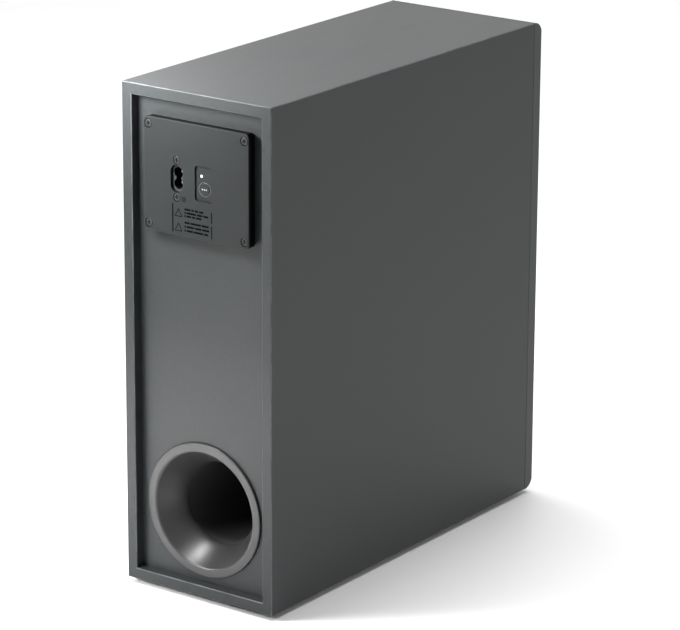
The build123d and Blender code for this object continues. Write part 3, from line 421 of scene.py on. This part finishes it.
def wadding_fibre():
    """Loose white polyester fibre."""
    look = Look("wadding_fibre", specular=0.2, sheen=0.4, sheen_roughness=0.6)
    tufts = look.noise(160.0, (1.0, 0.6, 0.6), detail=5.0, roughness=0.7, distortion=1.5)
    strands = look.noise(1400.0, (1.0, 0.2, 0.2), detail=3.0, distortion=2.0)
    look.colour(look.mix(look.spread(tufts, 0.3, 0.7), (0.55, 0.55, 0.52), (0.82, 0.82, 0.79)))
    look.rough(look.spread(strands, 0.3, 0.7, 0.9, 1.0))
    look.bump(tufts, 0.6, 1.0 * MM)
    look.bump(strands, 0.5, 0.2 * MM)
    return look.material


def lamp_diffuser():
    """Milky plastic with the lamp lit behind it."""
    look = Look("lamp_diffuser", specular=0.5, glow=0.45)
    cloud = look.noise(500.0, detail=2.0)
    milk = look.mix(cloud, (0.80, 0.82, 0.83), (0.90, 0.92, 0.93))
    look.colour(milk)
    look.links.new(milk, look.shader.inputs["Emission Color"])
    look.rough(look.spread(cloud, 0.3, 0.7, 0.25, 0.35))
    return look.material


def bright_metal():
    """Nickel with hairline scratches."""
    look = Look("bright_metal", metallic=1.0)
    hairs = look.noise(1800.0, (1.0, 0.05, 1.0), detail=2.0)
    look.colour(look.mix(hairs, (0.80, 0.80, 0.78), (0.92, 0.92, 0.90)))
    look.rough(look.spread(hairs, 0.3, 0.7, 0.34, 0.46))
    look.bump(hairs, 0.2, 0.01 * MM)
    return look.material


def capacitor_sleeve():
    """Dark shrink sleeve on the wall, bare aluminium on the can's end."""
    look = Look("capacitor_sleeve", specular=0.5)
    end = look.spread(look.math("ABSOLUTE", look.axis("Y", look.normal)), 0.8, 0.95)
    wall = look.mix(look.noise(90.0), (0.012, 0.012, 0.018), (0.020, 0.020, 0.028))
    metal = look.mix(look.noise(900.0), (0.42, 0.43, 0.44), (0.55, 0.56, 0.57))
    look.colour(look.mix(end, wall, metal))
    look.rough(look.spread(look.noise(300.0), 0.3, 0.7, 0.26, 0.38))
    look.bump(look.noise(700.0), 0.2, 0.02 * MM)
    return look.material


def print_ink():
    """Dull dark ink, a little broken where it is thin."""
    look = Look("print_ink", specular=0.03)
    thin = look.noise(1800.0, detail=2.0)
    look.colour(look.mix(look.spread(thin, 0.5, 0.8), (0.002, 0.002, 0.002), (0.010, 0.011, 0.011)))
    look.rough(look.spread(thin, 0.3, 0.7, 0.85, 0.95))
    return look.material


def screw_steel():
    """Black zinc: the heads at the plate are mid grey; their slots and sides are darkened to almost black, a
    painted shade.
    """
    look = Look("screw_steel", specular=0.26)
    grain = look.noise(1500.0)
    plating = look.mix(look.spread(grain, 0.3, 0.7), (0.017, 0.0185, 0.019), (0.024, 0.026, 0.0265))
    # painted shade: almost black from just under the heads' tops down to SLOT_END, over the slots and the
    # heads' sides
    slot = look.below(PLATE_FACE - SLOT_TOP)
    near = look.math("SUBTRACT", 1.0, look.below(PLATE_FACE - SLOT_END))
    look.colour(look.mix(look.math("MULTIPLY", slot, near), plating, (0.002, 0.002, 0.002)))
    look.rough(look.spread(grain, 0.3, 0.7, 0.38, 0.50))
    look.bump(grain, 0.35, 0.02 * MM)
    return look.material


def black_plastic():
    """Dull black moulding; the inlet's face gets painted light: as grey as the lit plate round it."""
    look = Look("black_plastic", specular=0.06)
    grain = look.noise(1500.0)
    black = look.mix(look.spread(grain, 0.3, 0.7), (0.0018, 0.0018, 0.0018), (0.0035, 0.0035, 0.0035))
    # painted light: a thin skin at the inlet's face grey; the black moulding below keeps its own colour
    look.colour(look.mix(look.below(INLET_FACE - PAINTED_LIGHT_SKIN), (0.040, 0.044, 0.045), black))
    look.rough(look.spread(grain, 0.3, 0.7, 0.70, 0.85))
    look.bump(grain, 0.35, 0.03 * MM)
    return look.material


def pale_ink(name, dark, light):
    """Pale printed ink."""
    look = Look(name, specular=0.3)
    thin = look.noise(2200.0, detail=2.0)
    look.colour(look.mix(look.spread(thin, 0.4, 0.8), light, dark))
    look.rough(look.spread(thin, 0.3, 0.7, 0.5, 0.65))
    return look.material


SPECIAL = {
    "cabinet_film": cabinet_film,
    "grille_paint": grille_paint,
    "plate_plastic": plate_plastic,
    "port_plastic": port_plastic,
    "grille_fabric": grille_fabric,
    "circuit_board": circuit_board,
    "winding": winding,
    "cone_paper": cone_paper,
    "spider_cloth": spider_cloth,
    "wadding_fibre": wadding_fibre,
    "lamp_diffuser": lamp_diffuser,
    "bright_metal": bright_metal,
    "capacitor_sleeve": capacitor_sleeve,
    "screw_steel": screw_steel,
    "black_plastic": black_plastic,
}

PLAIN = {
    "bare_fibreboard": dict(dark=(0.26, 0.17, 0.095), light=(0.42, 0.29, 0.17), rough=(0.75, 0.9),
                            scale=1400.0, relief=0.08, specular=0.2),
    "rubber_parts": dict(dark=(0.009, 0.009, 0.009), light=(0.022, 0.022, 0.022), rough=(0.6, 0.8),
                         scale=1100.0, relief=0.05, specular=0.35),
    "foam_seal": dict(dark=(0.010, 0.010, 0.010), light=(0.028, 0.028, 0.028), rough=(0.85, 0.95),
                      scale=1600.0, relief=0.12, specular=0.2),
    "tube_plastic": dict(dark=(0.046, 0.045, 0.045), light=(0.056, 0.055, 0.055), rough=(0.36, 0.46),
                         scale=1200.0, relief=0.02),
    "ferrite": dict(dark=(0.030, 0.030, 0.034), light=(0.055, 0.055, 0.06), rough=(0.6, 0.75),
                    scale=900.0, relief=0.05),
    "heat_sink_metal": dict(dark=(0.42, 0.43, 0.44), light=(0.58, 0.59, 0.60), rough=(0.35, 0.5),
                            scale=900.0, stretch=(1, 1, 0.05), relief=0.03, metallic=1.0),
    "connector_plastic": dict(dark=(0.68, 0.65, 0.56), light=(0.80, 0.78, 0.70), rough=(0.35, 0.5),
                              scale=900.0, relief=0.02),
    "lead_cover": dict(dark=(0.16, 0.012, 0.012), light=(0.26, 0.022, 0.022), rough=(0.45, 0.6),
                       scale=900.0, relief=0.02),
    "basket_steel": dict(dark=(0.014, 0.014, 0.015), light=(0.030, 0.030, 0.032), rough=(0.5, 0.65),
                         scale=800.0, relief=0.06),
    "magnet_steel": dict(dark=(0.42, 0.43, 0.44), light=(0.60, 0.61, 0.62), rough=(0.28, 0.45),
                         scale=700.0, stretch=(1, 0.1, 1), relief=0.02, metallic=1.0),
    "former_foil": dict(dark=(0.62, 0.63, 0.64), light=(0.78, 0.79, 0.80), rough=(0.2, 0.35),
                        scale=600.0, stretch=(1, 0.1, 1), relief=0.01, metallic=1.0),
    "terminal_strip": dict(dark=(0.18, 0.11, 0.05), light=(0.28, 0.18, 0.09), rough=(0.5, 0.7),
                           scale=1000.0, relief=0.04),
}


def make_finishes():
    """One material for each of the record's slots, put on the CAD nodes."""
    finishes = {slot: build() for slot, build in SPECIAL.items()}
    finishes.update({slot: grained(slot, **numbers).material for slot, numbers in PLAIN.items()})
    for part in frame["record"]["subparts"]:
        mesh = frame["nodes"][part["node"]].data
        mesh.materials.clear()
        mesh.materials.append(finishes[part["material_slot"]])
    return finishes


# ---------------------------------------------------------------- mesh helpers
def mesh_object(name, vertices, faces, material, smooth_angle=None):
    """A mesh object from its points and faces, with its normals outwards."""
    mesh = bpy.data.meshes.new(name)
    mesh.from_pydata([tuple(v) for v in vertices], [], faces)
    work = bmesh.new()
    work.from_mesh(mesh)
    bmesh.ops.recalc_face_normals(work, faces=work.faces)
    work.to_mesh(mesh)
    work.free()
    mesh.materials.append(material)
    piece = bpy.data.objects.new(name, mesh)
    bpy.context.collection.objects.link(piece)
    if smooth_angle is not None:
        mesh.polygons.foreach_set("use_smooth", [True] * len(mesh.polygons))
        mesh.set_sharp_from_angle(angle=radians(smooth_angle))
    return piece


def turned(name, profile, x, z, segments, material, smooth_angle=35):
    """A closed (radius, y) outline turned about the Y-parallel axis through (x, z)."""
    count = len(profile)
    vertices = []
    for step in range(segments):
        angle = 2 * pi * step / segments
        vertices += [(x + r * cos(angle), y, z + r * sin(angle)) for r, y in profile]
    faces = []
    for step in range(segments):
        here, there = step * count, (step + 1) % segments * count
        for k in range(count):
            after = (k + 1) % count
            faces.append((here + k, here + after, there + after, there + k))
    return mesh_object(name, vertices, faces, material, smooth_angle)


def arc(centre, radius, start, end, steps):
    """Points of an arc, as (radius, y) pairs; angles in degrees."""
    points = []
    for k in range(steps + 1):
        angle = radians(start + (end - start) * k / steps)
        points.append((centre[0] + radius * cos(angle), centre[1] + radius * sin(angle)))
    return points


def bezier(a, b, c, d, steps):
    """Points of a cubic curve."""
    points = []
    for k in range(steps + 1):
        t = k / steps
        weights = ((1 - t) ** 3, 3 * t * (1 - t) ** 2, 3 * t * t * (1 - t), t**3)
        points.append(tuple(sum(w * p[i] for w, p in zip(weights, (a, b, c, d))) for i in (0, 1)))
    return points


def attach(piece, body, slot, *replaced):
    """The piece rides on a body and stands for CAD nodes, which it hides; the slot is not used."""
    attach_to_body(piece, body)
    if replaced:
        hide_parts(*replaced)


# ---------------------------------------------------------------- bass port
PORT_LIP_RADIUS = 48.4 * MM
PORT_ROLL = 3.0 * MM
PORT_SLOPE = 60            # degrees, where the bell leaves the roll
PORT_RIM_EDGE = 1.0 * MM
PORT_BORE = 33.0 * MM
PORT_TUBE_SEAT = 35.0 * MM
PORT_SLEEVE = 36.8 * MM
PORT_SHELL_FOOT = 48.6 * MM
PORT_THROAT_DEPTH = 23.2 * MM
PORT_THROAT_PULL = 4.0 * MM
PORT_BELL_PULL = 9.6 * MM
PORT_SHELL_PULL = 9.0 * MM
PORT_STEP = 1.0 * MM


def make_port():
    """The moulded flare: a flat ring with a round outer edge, rolling tightly into a steep bell."""
    rim, top, foot, end = PORT_HIGH.x, PORT_HIGH.y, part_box("port_gasket")[1].y, PORT_LOW.y
    throat = top - PORT_THROAT_DEPTH
    down, inward = sin(radians(PORT_SLOPE)), cos(radians(PORT_SLOPE))

    def along(point, distance):
        """A point farther down the bell's first slope."""
        return (point[0] - distance * inward, point[1] - distance * down)

    profile = [(rim, foot)]
    profile += arc((rim - PORT_RIM_EDGE, top - PORT_RIM_EDGE), PORT_RIM_EDGE, 0, 90, 8)
    profile += arc((PORT_LIP_RADIUS, top - PORT_ROLL), PORT_ROLL, 90, 90 + PORT_SLOPE, 12)
    start, bore = profile[-1], (PORT_BORE, throat)
    sleeve, shell_foot = (PORT_SLEEVE, throat), (PORT_SHELL_FOOT, foot)
    pull = throat + PORT_THROAT_PULL
    profile += bezier(start, along(start, PORT_BELL_PULL), (PORT_BORE, pull), bore, 40)[1:]
    profile += [(PORT_BORE, throat - PORT_STEP), (PORT_TUBE_SEAT, throat - PORT_STEP)]
    profile += [(PORT_TUBE_SEAT, end), (PORT_SLEEVE, end), sleeve]
    profile += bezier(sleeve, (PORT_SLEEVE, pull), along(shell_foot, PORT_SHELL_PULL), shell_foot, 16)[1:]
    piece = turned("port_flare_bell", profile, 0.0, PORT_Z, 192, finishes["port_plastic"])
    attach(piece, "cabinet", "port_plastic", "port_flare")


# ---------------------------------------------------------------- printing on the plate
INK = 0.05 * MM
PANEL_SUNK = 1.2 * MM


def printed(name, outlines, face, material, body, slot):
    """Flat ink shapes, each a closed (x, z) outline in millimetres, standing just proud of a face."""
    vertices, faces = [], []
    for outline in outlines:
        count, start = len(outline), len(vertices)
        for y in (face - INK, face + INK):
            vertices += [(x * MM, y, z * MM) for x, z in outline]
        faces.append(tuple(range(start, start + count)))
        faces.append(tuple(range(start + count, start + 2 * count)))
        for k in range(count):
            after = (k + 1) % count
            faces.append((start + k, start + after, start + count + after, start + count + k))
    piece = mesh_object(name, vertices, faces, material)
    attach(piece, body, slot)


def bar(x_low, x_high, z_low, z_high):
    """An upright rectangle."""
    return [(x_low, z_low), (x_high, z_low), (x_high, z_high), (x_low, z_high)]


def line(start, end, width):
    """A thin straight stroke."""
    dx, dz = end[0] - start[0], end[1] - start[1]
    half = width / 2 / sqrt(dx * dx + dz * dz)
    across = (-dz * half, dx * half)
    corners = [(start, 1), (end, 1), (end, -1), (start, -1)]
    return [(point[0] + side * across[0], point[1] + side * across[1]) for point, side in corners]


def strokes(points, width):
    """A closed chain of strokes."""
    return [line(a, b, width) for a, b in zip(points, points[1:] + points[:1])]


def circle(x, z, radius, count):
    angles = [2 * pi * k / count for k in range(count)]
    return [(x + radius * cos(a), z + radius * sin(a)) for a in angles]


def triangle(x_low, x_high, z_low, height, width):
    """An upright triangle drawn in strokes."""
    return strokes([(x_high, z_low), (x_low, z_low), ((x_low + x_high) / 2, z_low + height)], width)


def square(x, z, half, width):
    """A square drawn in strokes."""
    return strokes(bar(x - half, x + half, z - half, z + half), width)


# The notice, in millimetres, with x running leftwards on the panel: its two borders, then its rows of bars.
NOTICE_LEFT, NOTICE_RIGHT, NOTICE_LOW, NOTICE_HIGH, NOTICE_GAP = 22.1, -14.6, 291.3, 313.4, 302.5
NOTICE_COLUMN = 11.0
BORDER_HALF = 0.55        # half width of the left border
SEGMENT_HALF = 0.45       # and of the two pieces of the right one
ROW_HEIGHT = 1.5
WORD_GAP = 0.8
NOTICE_ROWS = {
    309.6: (5.8, 2.2, 3.4, 4.0),
    306.9: (1.2, 9.0, 5.2, 4.6),
    304.4: (1.2, 4.4, 3.0, 5.0),
    299.4: (5.0, 9.6, 6.6),
    296.3: (1.2, 7.0, 6.2, 6.4),
    293.2: (1.2, 6.0, 8.8, 4.0),
}
SQUARE_PLACE = (11.5, 317.8)
RING_RADII = (5.15, 5.5)
RING_STEPS = 48
DOT_PITCH = 1.8
DOT_RADIUS = 0.48


def make_notice():
    """A plain notice of two groups of bars, each with a triangle, and a nested square beside the inlet."""
    shapes = [bar(NOTICE_LEFT - BORDER_HALF, NOTICE_LEFT + BORDER_HALF, NOTICE_LOW, NOTICE_HIGH)]
    for start, end in ((NOTICE_GAP + 1.0, NOTICE_HIGH - 1.6), (NOTICE_LOW, NOTICE_GAP - 1.0)):
        shapes.append(bar(NOTICE_RIGHT - SEGMENT_HALF, NOTICE_RIGHT + SEGMENT_HALF, start, end))
    for base in (NOTICE_GAP + 1.6, NOTICE_LOW + 1.6):
        shapes += triangle(13.4, 20.0, base, 5.8, 0.6)
    for z, words in NOTICE_ROWS.items():
        x = NOTICE_COLUMN
        for word in words:
            shapes.append(bar(x - word, x, z, z + ROW_HEIGHT))
            x -= word + WORD_GAP
    for half in (1.5, 0.7):
        shapes += square(*SQUARE_PLACE, half, 0.35)
    printed("notice_print", shapes, PLATE_FACE, print_ink(), "cabinet", "plate_plastic")


def make_button_marks():
    """A thin ring on the panel round the button, and three dots on the button."""
    x, z = BUTTON.x / MM, BUTTON.z / MM
    inner, outer = RING_RADII
    ring = []
    for k in range(RING_STEPS):
        start, end = 2 * pi * k / RING_STEPS, 2 * pi * (k + 1) / RING_STEPS
        corners = ((inner, start), (outer, start), (outer, end), (inner, end))
        ring.append([(x + r * cos(turn), z + r * sin(turn)) for r, turn in corners])
    ring_ink = pale_ink("ring_ink", (0.06, 0.063, 0.063), (0.10, 0.104, 0.104))
    printed("button_ring", ring, PLATE_FACE - PANEL_SUNK, ring_ink, "cabinet", "plate_plastic")

    dots = [circle(x + step * DOT_PITCH, z, DOT_RADIUS, 24) for step in (-1, 0, 1)]
    dot_ink = pale_ink("button_ink", (0.30, 0.306, 0.306), (0.40, 0.406, 0.406))
    printed("button_print", dots, BUTTON_HIGH.y, dot_ink, "button", "plate_plastic")


# ---------------------------------------------------------------- soft pieces
def make_grille_cloth():
    """The cloth, stretched over the grille's ledge and drawn in a little along its border."""
    low, high = CLOTH_LOW, CLOTH_HIGH
    columns, rows = 60, 176
    roll, border_width = 0.5 * MM, 3.0 * MM
    thickness, clearance, unevenness = 0.1 * MM, 0.1 * MM, 0.06 * MM
    vertices, faces = [], []
    for row in range(rows + 1):
        for column in range(columns + 1):
            x = low.x + (high.x - low.x) * column / columns
            z = low.z + (high.z - low.z) * row / rows
            border = min(x - low.x, high.x - x, z - low.z, high.z - z)
            sunk = roll * max(0.0, 1 - border / border_width) ** 2
            ripple = unevenness * noise.noise(Vector((x, 0, z)) * 30)
            vertices.append((x, low.y + clearance + sunk + ripple, z))
    for row in range(rows):
        for column in range(columns):
            first = row * (columns + 1) + column
            faces.append((first, first + 1, first + columns + 2, first + columns + 1))
    piece = mesh_object("grille_cloth_weave", vertices, faces, finishes["grille_fabric"], 60)
    solid = piece.modifiers.new("thickness", "SOLIDIFY")
    solid.thickness = thickness
    solid.offset = 0
    attach(piece, "cabinet", "grille_fabric", "grille_cloth")


def make_wadding():
    """Two fibre pads with soft, lumpy faces and round edges."""
    low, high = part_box("damping_wadding")
    thickness = 12.0 * MM
    gap = 0.3 * MM
    work = bmesh.new()
    for side in (-1, 1):
        pad = bmesh.new()
        bmesh.ops.create_cube(pad, size=1.0)
        bmesh.ops.subdivide_edges(pad, edges=pad.edges, cuts=40, use_grid_fill=True)
        centre = Vector((side * (high.x - thickness / 2), (low.y + high.y) / 2, (low.z + high.z) / 2))
        half = Vector((thickness / 2 - gap, (high.y - low.y) / 2 - gap, (high.z - low.z) / 2 - gap))
        for vertex in pad.verts:
            u = vertex.co * 2
            swell = (1 - abs(u.y) ** 6) * (1 - abs(u.z) ** 6)
            lumps = 0.86 + 0.14 * noise.noise(Vector((u.x, u.y * 5, u.z * 6 + 9 * side)))
            depth = half.x * (0.45 + 0.55 * swell) * lumps
            pull_y = 1 - 0.05 * abs(u.x) ** 2 - 0.03 * abs(noise.noise(Vector((u.z * 4, u.x, side))))
            pull_z = 1 - 0.04 * abs(u.x) ** 2 - 0.02 * abs(noise.noise(Vector((u.y * 4, u.x, side + 3))))
            vertex.co = centre + Vector((u.x * depth, u.y * half.y * pull_y, u.z * half.z * pull_z))
        scratch = bpy.data.meshes.new("pad")
        pad.to_mesh(scratch)
        pad.free()
        work.from_mesh(scratch)
        bpy.data.meshes.remove(scratch)
    mesh = bpy.data.meshes.new("wadding_pads")
    work.to_mesh(mesh)
    work.free()
    mesh.materials.append(finishes["wadding_fibre"])
    mesh.polygons.foreach_set("use_smooth", [True] * len(mesh.polygons))
    piece = bpy.data.objects.new("wadding_pads", mesh)
    bpy.context.collection.objects.link(piece)
    attach(piece, "cabinet", "wadding_fibre", "damping_wadding")


# ---------------------------------------------------------------- scene
make_camera()
finishes = make_finishes()
make_studio()
make_port()
make_notice()
make_button_marks()
make_grille_cloth()
make_wadding()
